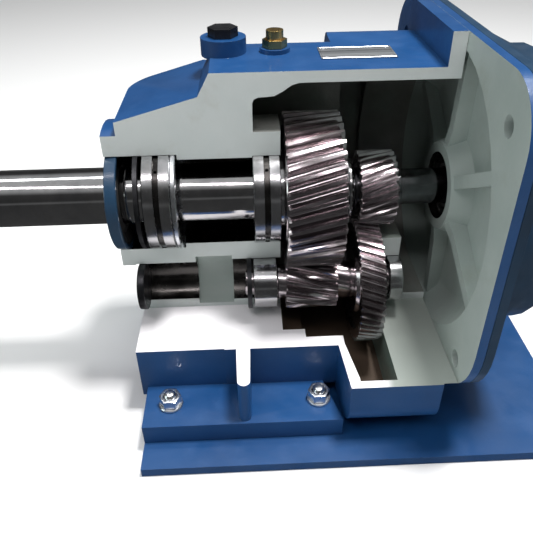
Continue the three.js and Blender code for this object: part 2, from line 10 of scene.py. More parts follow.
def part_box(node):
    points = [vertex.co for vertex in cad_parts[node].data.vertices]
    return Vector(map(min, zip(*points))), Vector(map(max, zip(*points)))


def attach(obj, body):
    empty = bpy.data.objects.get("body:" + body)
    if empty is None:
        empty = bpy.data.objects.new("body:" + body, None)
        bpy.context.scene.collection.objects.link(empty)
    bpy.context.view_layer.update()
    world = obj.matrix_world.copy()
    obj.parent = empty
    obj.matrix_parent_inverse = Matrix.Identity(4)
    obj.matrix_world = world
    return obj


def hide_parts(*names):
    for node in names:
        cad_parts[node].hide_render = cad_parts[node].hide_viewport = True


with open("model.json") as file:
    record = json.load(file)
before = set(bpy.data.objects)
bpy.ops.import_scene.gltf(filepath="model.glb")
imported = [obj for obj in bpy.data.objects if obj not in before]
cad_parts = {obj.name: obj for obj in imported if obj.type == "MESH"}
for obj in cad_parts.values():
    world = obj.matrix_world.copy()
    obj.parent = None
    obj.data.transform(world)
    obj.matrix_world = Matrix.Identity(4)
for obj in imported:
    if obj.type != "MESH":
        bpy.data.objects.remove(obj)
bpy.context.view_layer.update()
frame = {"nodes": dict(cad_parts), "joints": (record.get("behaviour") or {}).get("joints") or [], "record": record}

MM = 0.001
NODES = frame["nodes"]
JOINTS = {joint["name"]: joint for joint in frame["joints"]}
OUTPUT_AXIS = Vector(JOINTS["output_spin"]["pos_m"])
LAY_AXIS = Vector(JOINTS["layshaft_spin"]["pos_m"])
BODY_OF = {node: body for body, members in frame["record"]["behaviour"]["bodies"].items() for node in members}
SLOT_OF = {part["node"]: part["material_slot"] for part in frame["record"]["subparts"]}

CUT_Y = -20.5 * MM                    # the two cut planes of the display model
CUT_Z = OUTPUT_AXIS.z - 126.5 * MM
PLANE_TOLERANCE = 0.05 * MM

ROUND_SIDES = 96                      # points round a turned piece
HEX_SIDES = 72                        # points round a hexagon, a multiple of 6


# ------------------------------------------------------------------ camera, light and floor
CAMERA_PLACE = Vector((-2.4, -523.8, 486.9)) * MM
CAMERA_PITCH = math.radians(35.31)
CAMERA_YAW = math.radians(1.89)
CAMERA_ROLL = math.radians(0.94)
CAMERA_LENS = 40.31                   # millimetres, on a sensor SENSOR_WIDTH wide
SENSOR_WIDTH = 36


def make_camera():
    forward = Vector((math.sin(CAMERA_YAW) * math.cos(CAMERA_PITCH),
                      math.cos(CAMERA_YAW) * math.cos(CAMERA_PITCH), -math.sin(CAMERA_PITCH)))
    right = Vector((math.cos(CAMERA_YAW), -math.sin(CAMERA_YAW), 0))
    up = right.cross(forward)
    rolled_right = math.cos(CAMERA_ROLL) * right - math.sin(CAMERA_ROLL) * up
    rolled_up = math.sin(CAMERA_ROLL) * right + math.cos(CAMERA_ROLL) * up
    data = bpy.data.cameras.new("camera")
    data.lens = CAMERA_LENS
    data.sensor_width = SENSOR_WIDTH
    data.clip_start = 0.01
    camera = bpy.data.objects.new("camera", data)
    turn = Matrix((rolled_right, rolled_up, -forward)).transposed().to_4x4()
    camera.matrix_world = Matrix.Translation(CAMERA_PLACE) @ turn
    bpy.context.scene.collection.objects.link(camera)
    bpy.context.scene.camera = camera


def soft_light(name, place, target, size, watts, colour=(1, 1, 1)):
    data = bpy.data.lights.new(name, "AREA")
    data.shape = "RECTANGLE"
    data.size, data.size_y = size
    data.energy = watts
    data.color = colour
    light = bpy.data.objects.new(name, data)
    light.location = place
    light.rotation_mode = "QUATERNION"
    light.rotation_quaternion = (Vector(target) - Vector(place)).to_track_quat("-Z", "Y")
    bpy.context.scene.collection.objects.link(light)


def make_lights():
    """One ceiling lamp throws the shadows; strips and a dim room give the metals something to reflect."""
    middle = (0.05, 0, 0.15)          # a point inside the case, which every light faces
    soft_light("ceiling_lamp", (0.5, -0.02, 2.1), middle, (0.35, 0.35), 50, (1, 0.985, 0.975))
    soft_light("ceiling_strip_front", (-0.35, -0.75, 1.6), middle, (1.7, 0.1), 7.5, (1, 0.95, 0.97))
    soft_light("ceiling_strip_back", (0.0, 0.5, 1.7), middle, (1.9, 0.22), 9, (0.95, 1, 0.99))
    soft_light("left_window", (-1.7, -0.6, 0.8), middle, (0.5, 0.9), 5, (0.86, 1, 0.97))
    world = bpy.data.worlds.new("studio")
    bpy.context.scene.world = world
    world.use_nodes = True
    nodes, links = world.node_tree.nodes, world.node_tree.links
    place = nodes.new("ShaderNodeTexCoord")
    split = nodes.new("ShaderNodeSeparateXYZ")
    shift = nodes.new("ShaderNodeMapRange")           # from straight down at 0 to straight up at 1
    ramp = nodes.new("ShaderNodeValToRGB")
    shift.inputs["From Min"].default_value = -1
    links.new(place.outputs["Generated"], split.inputs[0])
    links.new(split.outputs["Z"], shift.inputs["Value"])
    links.new(shift.outputs["Result"], ramp.inputs["Fac"])
    links.new(ramp.outputs["Color"], nodes["Background"].inputs["Color"])
    stops = [(0.0, 0.06), (0.5, 0.05), (0.54, 0.16), (0.6, 0.04), (0.8, 0.05), (0.88, 0.4),
             (1.0, 0.62)]             # place and grey: a faint horizon, dark walls and a pale ceiling
    ramp.color_ramp.elements[0].position, ramp.color_ramp.elements[1].position = 0, 1
    for position, _ in stops[1:-1]:
        ramp.color_ramp.elements.new(position)
    for element, (_, grey) in zip(ramp.color_ramp.elements, stops):
        element.color = (grey, grey * 1.02, grey * 1.03, 1)
    nodes["Background"].inputs["Strength"].default_value = 1.0
    bpy.context.scene.view_settings.view_transform = "Standard"


def make_floor():
    just_below = -0.2 * MM
    bpy.ops.mesh.primitive_plane_add(size=14, location=(0, 0, just_below))
    floor = bpy.context.object
    floor.name = "floor"
    floor.data.materials.append(plain_material("floor_paper", (0.9, 0.9, 0.9), 0.9))
    floor.visible_glossy = False


# ------------------------------------------------------------------ materials
def plain_material(name, colour, roughness):
    material = bpy.data.materials.new(name)
    material.use_nodes = True
    shader = material.node_tree.nodes["Principled BSDF"]
    shader.inputs["Base Color"].default_value = (*colour, 1)
    shader.inputs["Roughness"].default_value = roughness
    return material


WANDER = 20 * MM


class Surface:
    """A Principled material whose colour, roughness and bump are mixed from procedural textures."""

    def __init__(self, name, metallic=0.0, coat=0.0):
        self.material = bpy.data.materials.new(name)
        self.material.use_nodes = True
        self.tree = self.material.node_tree
        self.shader = self.tree.nodes["Principled BSDF"]
        self.shader.inputs["Metallic"].default_value = metallic
        if coat:
            self.shader.inputs["Coat Weight"].default_value = coat
            self.shader.inputs["Coat Roughness"].default_value = 0.12
        self.place = self.tree.nodes.new("ShaderNodeTexCoord").outputs["Object"]
        self.height = None

    def noise(self, scale, detail=4.0, roughness=0.55, stretch=(1, 1, 1)):
        mapping = self.tree.nodes.new("ShaderNodeMapping")
        mapping.inputs["Scale"].default_value = stretch
        texture = self.tree.nodes.new("ShaderNodeTexNoise")
        texture.inputs["Scale"].default_value = scale
        texture.inputs["Detail"].default_value = detail
        texture.inputs["Roughness"].default_value = roughness
        self.tree.links.new(self.place, mapping.inputs["Vector"])
        self.tree.links.new(mapping.outputs["Vector"], texture.inputs["Vector"])
        return texture.outputs["Fac"]

    def beyond_x(self, start, end):
        """0 before start and 1 past end along X, with an edge that wanders by up to WANDER."""
        split = self.tree.nodes.new("ShaderNodeSeparateXYZ")
        self.tree.links.new(self.place, split.inputs[0])
        uneven = self.tree.nodes.new("ShaderNodeMath")
        uneven.operation = "MULTIPLY_ADD"
        self.tree.links.new(self.noise(25, 3), uneven.inputs[0])
        uneven.inputs[1].default_value = WANDER
        self.tree.links.new(split.outputs["X"], uneven.inputs[2])
        share = self.tree.nodes.new("ShaderNodeMapRange")
        share.inputs["From Min"].default_value = start + WANDER / 2
        share.inputs["From Max"].default_value = end + WANDER / 2
        self.tree.links.new(uneven.outputs[0], share.inputs["Value"])
        return share.outputs["Result"]

    def turning_marks(self, spacing):
        """Fine rings round the shafts' direction, as a lathe or a grinding wheel leaves them."""
        wave = self.tree.nodes.new("ShaderNodeTexWave")
        wave.bands_direction = "X"
        bands_per_metre = 20          # of a wave texture at scale 1
        wave.inputs["Scale"].default_value = 1 / spacing / bands_per_metre
        wave.inputs["Distortion"].default_value = 0.4
        wave.inputs["Detail"].default_value = 2
        self.tree.links.new(self.place, wave.inputs["Vector"])
        return wave.outputs["Fac"]

    def ramp(self, factor, low, high, start=0.3, end=0.7):
        ramp = self.tree.nodes.new("ShaderNodeValToRGB")
        for element, position, colour in zip(ramp.color_ramp.elements, (start, end), (low, high)):
            element.position = position
            element.color = (*colour, 1) if isinstance(colour, tuple) else (colour, colour, colour, 1)
        self.tree.links.new(factor, ramp.inputs["Fac"])
        return ramp.outputs["Color"]

    def mix(self, factor, first, second, blend="MIX"):
        node = self.tree.nodes.new("ShaderNodeMix")
        node.data_type = "RGBA"
        node.blend_type = blend
        if isinstance(factor, float):
            node.inputs[0].default_value = factor
        else:
            self.tree.links.new(factor, node.inputs[0])
        for socket, value in ((node.inputs[6], first), (node.inputs[7], second)):
            if isinstance(value, tuple):
                socket.default_value = (*value, 1)
            else:
                self.tree.links.new(value, socket)
        return node.outputs[2]

    def colour(self, value):
        self.tree.links.new(value, self.shader.inputs["Base Color"])

    def roughness(self, factor, low, high, start=0.3, end=0.7):
        self.tree.links.new(self.ramp(factor, low, high, start, end), self.shader.inputs["Roughness"])

    def bump(self, factor, depth, strength=1.0):
        node = self.tree.nodes.new("ShaderNodeBump")
        node.inputs["Distance"].default_value = depth
        node.inputs["Strength"].default_value = strength
        self.tree.links.new(factor, node.inputs["Height"])
        if self.height is not None:
            self.tree.links.new(self.height, node.inputs["Normal"])
        self.height = node.outputs["Normal"]
        self.tree.links.new(self.height, self.shader.inputs["Normal"])


def blue_paint():
    surface = Surface("blue_paint", coat=0.3)
    tone = surface.ramp(surface.noise(9, 5), (0.005, 0.047, 0.155), (0.010, 0.07, 0.215))
    dust = surface.ramp(surface.noise(55, 8, 0.7), 0.0, 0.3, 0.55, 0.74)
    surface.colour(surface.mix(dust, tone, (0.03, 0.1, 0.25)))
    surface.roughness(surface.noise(35, 6), 0.3, 0.48)
    surface.bump(surface.noise(420, 3), 0.00025, 0.3)
    surface.bump(surface.noise(45, 4), 0.0009, 0.35)
    return surface.material


def dark_blue_paint():
    # A darker copy of the blue paint: painted shade on the seal case in the nose and on the motor adapter behind
    # the flange.
    surface = Surface("dark_blue_paint", coat=0.3)
    surface.colour(surface.ramp(surface.noise(14, 5), (0.007, 0.029, 0.062), (0.012, 0.045, 0.095)))
    surface.roughness(surface.noise(35, 6), 0.3, 0.5)
    surface.bump(surface.noise(420, 3), 0.00025, 0.35)
    return surface.material


def primer(name, low, high, stain_colour, stain_share=0.5, painted_shadow_colour=None):
    surface = Surface(name)
    tone = surface.ramp(surface.noise(7, 6), low, high)
    stain = surface.ramp(surface.noise(26, 8, 0.65), 0.0, stain_share, 0.56, 0.78)
    tone = surface.mix(stain, tone, stain_colour)
    # Past x 112–126 mm, along an uneven edge, the colour turns grey-green: the flange's shadow on the level cut,
    # painted.
    if painted_shadow_colour:
        tone = surface.mix(surface.beyond_x(0.112, 0.126), tone, painted_shadow_colour)
    surface.colour(tone)
    surface.roughness(surface.noise(50, 5), 0.42, 0.62)
    surface.bump(surface.noise(300, 4), 0.0002, 0.35)
    surface.bump(surface.noise(30, 5), 0.0006, 0.3)
    return surface.material


def cast_interior():
    # Dark grey-green with random teal patches: painted shade inside the closed case.
    surface = Surface("cast_interior")
    tone = surface.ramp(surface.noise(12, 6), (0.13, 0.13, 0.12), (0.27, 0.28, 0.26))
    teal = surface.ramp(surface.noise(6, 3), 0.0, 0.6, 0.5, 0.68)
    surface.colour(surface.mix(teal, tone, (0.11, 0.22, 0.18)))
    surface.roughness(surface.noise(22, 5), 0.28, 0.6)
    surface.bump(surface.noise(220, 6, 0.7), 0.0006, 0.7)
    return surface.material


def sump_floor():
    surface = Surface("sump_floor")
    surface.colour(surface.ramp(surface.noise(14, 6), (0.05, 0.034, 0.024), (0.12, 0.085, 0.06)))
    surface.roughness(surface.noise(9, 4), 0.25, 0.6)
    surface.bump(surface.noise(160, 6, 0.7), 0.0005, 0.6)
    return surface.material


def steel(name, low, high, rough, film=(0.3, 0.27, 0.24), marks=0.0004, mark_strength=0.25, grain=0.0):
    """Machined metal: a thin uneven oil film, and rings or grain left by the tool."""
    surface = Surface(name, metallic=1.0)
    tone = surface.ramp(surface.noise(30, 5), low, high)
    oil = surface.ramp(surface.noise(70, 6, 0.6), 0.0, 0.4, 0.5, 0.8)
    surface.colour(surface.mix(oil, tone, film))
    surface.roughness(surface.noise(60, 6), *rough)
    if marks:
        surface.bump(surface.turning_marks(marks), 0.00001, mark_strength)
    if grain:
        surface.bump(surface.noise(900, 4, 0.6, (0.15, 1, 1)), grain, 0.4)
    return surface.material


def black_steel():
    surface = Surface("black_steel", metallic=0.85)
    surface.colour(surface.ramp(surface.noise(60, 5), (0.022, 0.023, 0.026), (0.065, 0.065, 0.07)))
    surface.roughness(surface.noise(90, 5), 0.25, 0.5)
    surface.bump(surface.noise(700, 3), 0.00008, 0.5)
    return surface.material


def seal_rubber():
    surface = Surface("seal_rubber")
    surface.colour(surface.ramp(surface.noise(50, 5), (0.012, 0.012, 0.013), (0.035, 0.034, 0.033)))
    surface.roughness(surface.noise(80, 5), 0.45, 0.75)
    surface.bump(surface.noise(900, 3), 0.0001, 0.5)
    return surface.material


def satin_plate():
    surface = Surface("satin_plate", metallic=0.9)
    brushed = surface.noise(90, 6, 0.6, (0.05, 3, 1))
    surface.colour(surface.ramp(brushed, (0.42, 0.44, 0.46), (0.66, 0.68, 0.7)))
    surface.roughness(brushed, 0.25, 0.45)
    surface.bump(brushed, 0.00003, 0.4)
    return surface.material


MATERIALS = {
    "blue_paint": blue_paint(),
    "dark_blue_paint": dark_blue_paint(),
    "casting": primer("casting", (0.48, 0.54, 0.53), (0.6, 0.64, 0.63), (0.42, 0.43, 0.38)),
    # The level cut's primer is a brighter copy of the upright cut's primer: painted light on the face that looks
    # up. Its last colour is the painted shadow.
    "white_primer": primer("white_primer", (0.84, 0.83, 0.85), (0.93, 0.91, 0.94), (0.72, 0.72, 0.72), 0.3,
                           (0.36, 0.4, 0.37)),
    "green_primer": primer("green_primer", (0.3, 0.36, 0.34), (0.42, 0.48, 0.45), (0.27, 0.3, 0.25)),
    "interior": cast_interior(),
    "sump": sump_floor(),
    # Near black for the machined bores of housing and cover and the bearings' oil grooves: painted shade in these
    # deep, narrow places.
    "machined_bore": steel("machined_bore", (0.035, 0.033, 0.032), (0.1, 0.095, 0.09), (0.16, 0.32),
                           film=(0.05, 0.045, 0.04)),
    "polished_steel": steel("polished_steel", (0.4, 0.4, 0.41), (0.56, 0.55, 0.55), (0.07, 0.15),
                            film=(0.3, 0.28, 0.27), marks=0.0003, mark_strength=0.1),
    "gear_steel": steel("gear_steel", (0.36, 0.32, 0.33), (0.58, 0.53, 0.55), (0.14, 0.22),
                        film=(0.19, 0.15, 0.14), marks=0, grain=0.000008),
    # Steel made dark to stand for the dark reflections and shade on the input shaft: painted reflection and
    # painted shade.
    "shaded_steel": steel("shaded_steel", (0.1, 0.1, 0.105), (0.2, 0.2, 0.21), (0.1, 0.2),
                        film=(0.07, 0.06, 0.055), marks=0.0003, mark_strength=0.1),
    "bearing_steel": steel("bearing_steel", (0.42, 0.42, 0.42), (0.6, 0.6, 0.62), (0.13, 0.24), marks=0.0003),
    "zinc": steel("zinc", (0.62, 0.64, 0.67), (0.82, 0.84, 0.86), (0.2, 0.36), film=(0.5, 0.5, 0.5)),
    "black_steel": black_steel(),
    "seal_rubber": seal_rubber(),
    "brass": steel("brass", (0.5, 0.33, 0.1), (0.68, 0.48, 0.19), (0.2, 0.36), film=(0.25, 0.15, 0.06)),
    "name_plate": satin_plate(),
}


# ------------------------------------------------------------------ mesh helpers
SMOOTH_ANGLE = math.radians(32)
FLAT_ANGLE = math.radians(24)         # keeps the chamfers of hexagons sharp


def finish_piece(name, mesh, node, angle=SMOOTH_ANGLE, material=None):
    """Links a mesh as the piece that stands for a CAD node, on that node's body and slot."""
    mesh.validate()
    work = bmesh.new()
    work.from_mesh(mesh)
    bmesh.ops.recalc_face_normals(work, faces=work.faces)
    work.to_mesh(mesh)
    work.free()
    for face in mesh.polygons:
        face.use_smooth = True
    mesh.set_sharp_from_angle(angle=angle)
    piece = bpy.data.objects.new(name, mesh)
    bpy.context.scene.collection.objects.link(piece)
    if not mesh.materials:
        mesh.materials.append(MATERIALS[material or SLOT_OF[node]])
    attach(piece, BODY_OF[node])
    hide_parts(node)
    return piece


class Loft:
    """Collects rings of points, each joined to the next, into one mesh of closed bodies."""

    def __init__(self):
        self.points, self.faces = [], []

    def add(self, rings, closed):
        """closed joins the last ring to the first; otherwise both ends get a cap."""
        start, count = len(self.points), len(rings[0])
        for one in rings:
            self.points.extend(one)
        pairs = [(i, i + 1) for i in range(len(rings) - 1)]
        if closed:
            pairs.append((len(rings) - 1, 0))
        for a, b in pairs:
            for k in range(count):
                n = (k + 1) % count
                self.faces.append((start + a * count + k, start + a * count + n,
                                   start + b * count + n, start + b * count + k))
        if not closed:
            self.faces.append(tuple(start + k for k in reversed(range(count))))
            last = start + (len(rings) - 1) * count
            self.faces.append(tuple(last + k for k in range(count)))

    def mesh(self, name):
        mesh = bpy.data.meshes.new(name)
        mesh.from_pydata([tuple(point) for point in self.points], [], self.faces)
        return mesh


def ring_about_x(x, radius, axis, sides):
    """A circle round an axis along X. radius is one number or a function of the angle."""
    points = []
    for k in range(sides):
        angle = 2 * math.pi * k / sides
        r = radius(angle) if callable(radius) else radius
        points.append(Vector((x * MM, axis.y + r * MM * math.cos(angle), axis.z + r * MM * math.sin(angle))))
    return points


def turned(node, profile, axis=OUTPUT_AXIS, closed=False, material=None):
    """A turned piece from (x, radius) points in millimetres. An open profile gets flat end caps."""
    loft = Loft()
    loft.add([ring_about_x(x, radius, axis, ROUND_SIDES) for x, radius in profile], closed)
    finish_piece(node + "_fine", loft.mesh(node), node, material=material)


def lofted(node, rings, closed, angle=SMOOTH_ANGLE):
    """A piece made of one row of rings."""
    loft = Loft()
    loft.add(rings, closed)
    finish_piece(node + "_fine", loft.mesh(node), node, angle)


def extent(node):
    """The middle of a node's box, and its low and high corners in millimetres."""
    low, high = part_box(node)
    return (low + high) / 2, low / MM, high / MM


def chamfered_ring(x0, x1, inner, outer, edge=0.5):
    return [(x0, inner + edge), (x0, outer - edge), (x0 + edge, outer), (x1 - edge, outer),
            (x1, outer - edge), (x1, inner + edge), (x1 - edge, inner), (x0 + edge, inner)]


# ------------------------------------------------------------------ gears
CENTRE_DISTANCE = 96.0
PRESSURE_ANGLE = math.radians(20)
TOOTH_THINNING = 0.34                 # backlash, shared by the two teeth that meet
OUTPUT_STAGE = {"module": 3.6, "helix": math.radians(15), "shift": 0.4, "teeth": (39, 12)}
INPUT_STAGE = {"module": 2.55, "helix": math.radians(20), "shift": 0.4, "teeth": (47, 25)}
TO_LAYSHAFT = math.atan2(LAY_AXIS.z - OUTPUT_AXIS.z, LAY_AXIS.y - OUTPUT_AXIS.y)
TO_CENTRE = TO_LAYSHAFT + math.pi


def involute(angle):
    return math.tan(angle) - angle


class Gear:
    """One helical gear of a pair, with involute flanks."""

    def __init__(self, stage, teeth, shift_sign, hand, span, axis):
        self.teeth, self.span, self.axis = teeth, span, axis
        module = 2 * CENTRE_DISTANCE / sum(stage["teeth"])
        shift = shift_sign * stage["shift"] * stage["module"]
        self.pitch = module * teeth / 2
        self.alpha = math.atan(math.tan(PRESSURE_ANGLE) / math.cos(stage["helix"]))
        self.base = self.pitch * math.cos(self.alpha)
        self.tip = self.pitch + stage["module"] + shift
        self.root = self.pitch - 1.25 * stage["module"] + shift
        self.thickness = math.pi * module / 2 + 2 * shift * math.tan(self.alpha) - TOOTH_THINNING
        self.twist = hand * math.tan(stage["helix"]) / self.pitch

    def half_angle(self, radius):
        local = math.acos(min(1.0, self.base / max(radius, self.base)))
        return self.thickness / (2 * self.pitch) + involute(self.alpha) - involute(local)

    def tooth(self, lower):
        """(radius, angle from the tooth's middle) round one tooth and its root, lower taken off the tip."""
        top = self.tip - lower
        fillet = 0.18 * (self.tip - self.root)
        start = max(self.root + fillet, self.base)
        radii = [start + (top - start) * share for share in (0, 0.25, 0.5, 0.75, 1)]
        flank = [(radius, self.half_angle(radius)) for radius in radii]
        space = math.pi / self.teeth
        foot = self.half_angle(start)
        low = [(self.root, -space), (self.root, -foot - 0.45 * (space - foot)),
               (self.root + 0.3 * fillet, -foot - 0.12 * (space - foot))]
        rising = [(radius, -half) for radius, half in flank]
        falling = [(radius, half) for radius, half in reversed(flank)]
        return low + rising + [(top, 0.0)] + falling + [(r, -a) for r, a in reversed(low[1:])]

    def outline(self, x, phase, lower=0.0):
        turn = phase + self.twist * (x - sum(self.span) / 2)
        points = []
        for index in range(self.teeth):
            middle = 2 * math.pi * index / self.teeth + turn
            for radius, angle in self.tooth(lower):
                points.append(self.at(x, radius, middle + angle))
        return points

    def at(self, x, radius, angle):
        return Vector((x * MM, self.axis.y + radius * MM * math.cos(angle),
                       self.axis.z + radius * MM * math.sin(angle)))

    def circle(self, x, radius, phase):
        """A circle with the same number and spacing of points as the outline."""
        turn = phase + self.twist * (x - sum(self.span) / 2)
        return [self.at(x, radius, 2 * math.pi * index / self.teeth + turn + angle)
                for index in range(self.teeth) for _, angle in self.tooth(0.0)]

    def rings(self, phase, face_profile, steps=14, edge=0.7):
        """face_profile is (depth, radius) from the bore out to just under the teeth, alike on both faces."""
        x0, x1 = self.span
        front = [self.circle(x0 + depth, radius, phase) for depth, radius in face_profile]
        teeth = [self.outline(x0, phase, edge)]
        for step in range(steps + 1):
            teeth.append(self.outline(x0 + edge + (x1 - x0 - 2 * edge) * step / steps, phase))
        teeth.append(self.outline(x1, phase, edge))
        back = [self.circle(x1 - depth, radius, phase) for depth, radius in reversed(face_profile)]
        return front + teeth + back


def mesh_phase(gear, partner, stage):
    """Phase of a gear on the layshaft, so that a space meets a tooth of its partner on the centre axis."""
    lead = math.tan(stage["helix"]) / gear.pitch
    return TO_CENTRE + math.pi / gear.teeth + lead * (sum(gear.span) - sum(partner.span)) / 2


def make_gears():
    big = Gear(OUTPUT_STAGE, 39, -1, -1, (33, 86), OUTPUT_AXIS)
    small = Gear(OUTPUT_STAGE, 12, 1, 1, (33, 85), LAY_AXIS)
    wheel = Gear(INPUT_STAGE, 47, -1, 1, (102, 125.5), LAY_AXIS)
    pinion = Gear(INPUT_STAGE, 25, 1, -1, (104.5, 139.5), OUTPUT_AXIS)

    face = [(0.6, 34.7), (0, 35.3), (0, 50), (2.5, 52), (2.5, 60), (0, 62), (0, 66.5)]
    lofted("output_gear", big.rings(TO_LAYSHAFT, face), True)

    face = [(0.5, 18.1), (0, 18.6), (0, 24), (1.2, 25), (1.2, 27), (0, 28), (0, 29)]
    lofted("input_pinion", pinion.rings(TO_LAYSHAFT, face, 12, 0.6), True)

    face = [(0.6, 20.6), (0, 21.2), (0, 33), (3, 35), (3, 50), (0, 52), (0, 57.5)]
    phase = mesh_phase(wheel, pinion, INPUT_STAGE)
    lofted("intermediate_wheel", wheel.rings(phase, face, 8, 0.6), True)

    phase = mesh_phase(small, big, OUTPUT_STAGE)
    left_end = [(-8, 10.5), (-8, 12), (-7, 13), (25, 13), (25, 17.5), (25.5, 18), (32.5, 18)]
    right_end = [(85.5, 20), (126, 20), (126, 18.6), (128, 18.6), (128, 20), (129.5, 19.2), (137, 13),
                 (153, 13), (154, 12), (154, 10.5)]
    teeth = small.rings(phase, [(0, 18), (0, small.root - 0.6)], 18, 0.8)
    start = [small.circle(x, radius, phase) for x, radius in left_end]
    end = [small.circle(x, radius, phase) for x, radius in right_end]
    lofted("layshaft", start + teeth + end, False)


# ------------------------------------------------------------------ shafts
def make_input_shaft():
    """The overhung shaft with its ring groove, its collar against the pinion and its thinner end."""
    profile = [(98, 9), (98, 16.5), (99, 17.5), (101.2, 17.5), (101.2, 16.2), (103.4, 16.2), (103.4, 17.5),
               (140.2, 17.5), (140.2, 19.4), (140.8, 20), (145.4, 20), (146, 19.4), (146, 17.5),
               (212.5, 17.5), (213, 17), (213, 15.5), (245.5, 15.5), (247, 14), (247, 9)]
    # The input shaft takes the darkened steel: painted shade and painted dark reflection.
    turned("input_shaft", profile, material="shaded_steel")


def make_output_shaft():
    """The output shaft keeps its keyway: a turned body cut by the key's slot with round ends."""
    loft = Loft()
    profile = [(-275, 12), (-275, 25.5), (-273, 27.5), (-119, 27.5), (-117, 29.5), (28.3, 29.5), (28.3, 37.5),
               (28.8, 38), (32.2, 38), (32.7, 37.5), (32.7, 34), (91, 34), (91, 32), (93.2, 32), (93.2, 34),
               (95.5, 34), (97, 32.5), (97, 12)]
    loft.add([ring_about_x(x, radius, OUTPUT_AXIS, 128) for x, radius in profile], False)
    blank = bpy.data.objects.new("output_shaft_blank", loft.mesh("output_shaft"))
    low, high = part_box("output_key")
    margin = 0.3 * MM
    beyond_shaft = 40 * MM
    half_width = (high.z - low.z) / 2 + margin
    slot = Loft()
    slot.add(slot_rings(low.x - margin, high.x + margin, half_width, low.y - margin, beyond_shaft), False)
    cutter = bpy.data.objects.new("keyway_cutter", slot.mesh("keyway"))
    finish_piece("output_shaft_fine", boolean(blank, cutter), "output_shaft")


def slot_rings(x0, x1, half, y0, y1, sides=10):
    """Two outlines of a slot with round ends, seen along Y, at y0 and y1."""
    outline = []
    for centre, start in ((x1 - half, -90), (x0 + half, 90)):
        for k in range(sides + 1):
            angle = math.radians(start + 180 * k / sides)
            outline.append((centre + half * math.cos(angle), OUTPUT_AXIS.z + half * math.sin(angle)))
    return [[Vector((x, y, z)) for x, z in outline] for y in (y0, y1)]


def boolean(body, *cutters):
    """The body's mesh with the cutters taken away."""
    scene = bpy.context.scene.collection
    scene.objects.link(body)
    for tool in cutters:
        scene.objects.link(tool)
        for item in (body, tool):
            work = bmesh.new()
            work.from_mesh(item.data)
            bmesh.ops.recalc_face_normals(work, faces=work.faces)
            work.to_mesh(item.data)
            work.free()
        modifier = body.modifiers.new("cut", "BOOLEAN")
        modifier.object = tool
        modifier.operation = "DIFFERENCE"
        modifier.solver = "EXACT"
    bpy.context.view_layer.update()
    graph = bpy.context.evaluated_depsgraph_get()
    mesh = bpy.data.meshes.new_from_object(body.evaluated_get(graph))
    for item in (body, *cutters):
        bpy.data.objects.remove(item)
    return mesh


# ------------------------------------------------------------------ bearings, rings and seals
OIL_HOLE = 1.7                        # radius of the holes in a bearing's groove
DRILL_SIDES = 20
GROOVE_HALF = 2.4
RING_SHARE = 0.27                     # of a bearing's depth from bore to rim, for each of its two rings


def fine_bearing(name, axis, rollers):
    """Outer ring, inner ring and caged rollers. The wide bearings have an oil groove with three holes."""
    _, low, high = extent(name + "_outer_ring")
    x0, x1 = low.x, high.x
    outer = high.z - axis.z / MM
    _, _, inner_high = extent(name + "_inner_ring")
    inner = inner_high.z - axis.z / MM
    depth = (outer - inner) / (1 - RING_SHARE)
    bore = outer - depth
    race = outer - RING_SHARE * depth
    middle = (x0 + x1) / 2
    grooved = axis is OUTPUT_AXIS and x1 - x0 > 15
    skin = [(middle, outer)]
    if grooved:
        left, right = middle - GROOVE_HALF, middle + GROOVE_HALF
        skin = [(left - 0.4, outer), (left, outer - 0.5), (left, outer - 1.9),
                (right, outer - 1.9), (right, outer - 0.5), (right + 0.4, outer)]
    edge = 0.7
    profile = [(x0, race + 0.4), (x0, outer - edge), (x0 + edge, outer), *skin, (x1 - edge, outer),
               (x1, outer - edge), (x1, race + 0.4), (x1 - 3, race), (x0 + 3, race)]
    node = name + "_outer_ring"
    loft = Loft()
    loft.add([ring_about_x(x, radius, axis, ROUND_SIDES) for x, radius in profile], True)
    mesh = loft.mesh(node)
    if grooved:
        mesh = boolean(bpy.data.objects.new("ring_blank", mesh), *oil_hole_cutters(axis, middle, outer))
    ring = finish_piece(node + "_fine", mesh, node)
    if grooved:
        # Painted shade in the oil groove.
        paint_groove_shade(ring.data, axis, middle, outer)
    turned(name + "_inner_ring", chamfered_ring(x0, x1, bore, inner), axis, True)
    roller_cage(name, axis, (x0 + 2, x1 - 2), inner + 0.5, race - 1.6, rollers)


def oil_hole_cutters(axis, middle, outer):
    """Three radial drills, a third of a turn apart, that open the groove to the rollers."""
    cutters = []
    for degrees in (10, 130, 250):
        angle = math.radians(degrees)
        along = Vector((0, math.cos(angle), math.sin(angle)))
        across = Vector((0, -math.sin(angle), math.cos(angle)))
        rings = []
        for depth in (-12, 2):
            centre = Vector((middle * MM, axis.y, axis.z)) + along * (outer + depth) * MM
            ring = []
            for k in range(DRILL_SIDES):
                turn = 2 * math.pi * k / DRILL_SIDES
                around = across * math.cos(turn) + Vector((math.sin(turn), 0, 0))
                ring.append(centre + OIL_HOLE * MM * around)
            rings.append(ring)
        loft = Loft()
        loft.add(rings, False)
        cutters.append(bpy.data.objects.new("oil_drill", loft.mesh("oil_drill")))
    return cutters


def paint_groove_shade(mesh, axis, middle, outer):
    """The oil groove takes the near-black bore finish, darker than the ground lands: painted shade in the groove.
    """
    mesh.materials.append(MATERIALS["machined_bore"])
    for face in mesh.polygons:
        off_axis = math.hypot(face.center.y - axis.y, face.center.z - axis.z) / MM
        if abs(face.center.x / MM - middle) < GROOVE_HALF + 0.1 and off_axis > outer - 2.2:
            face.material_index = 1


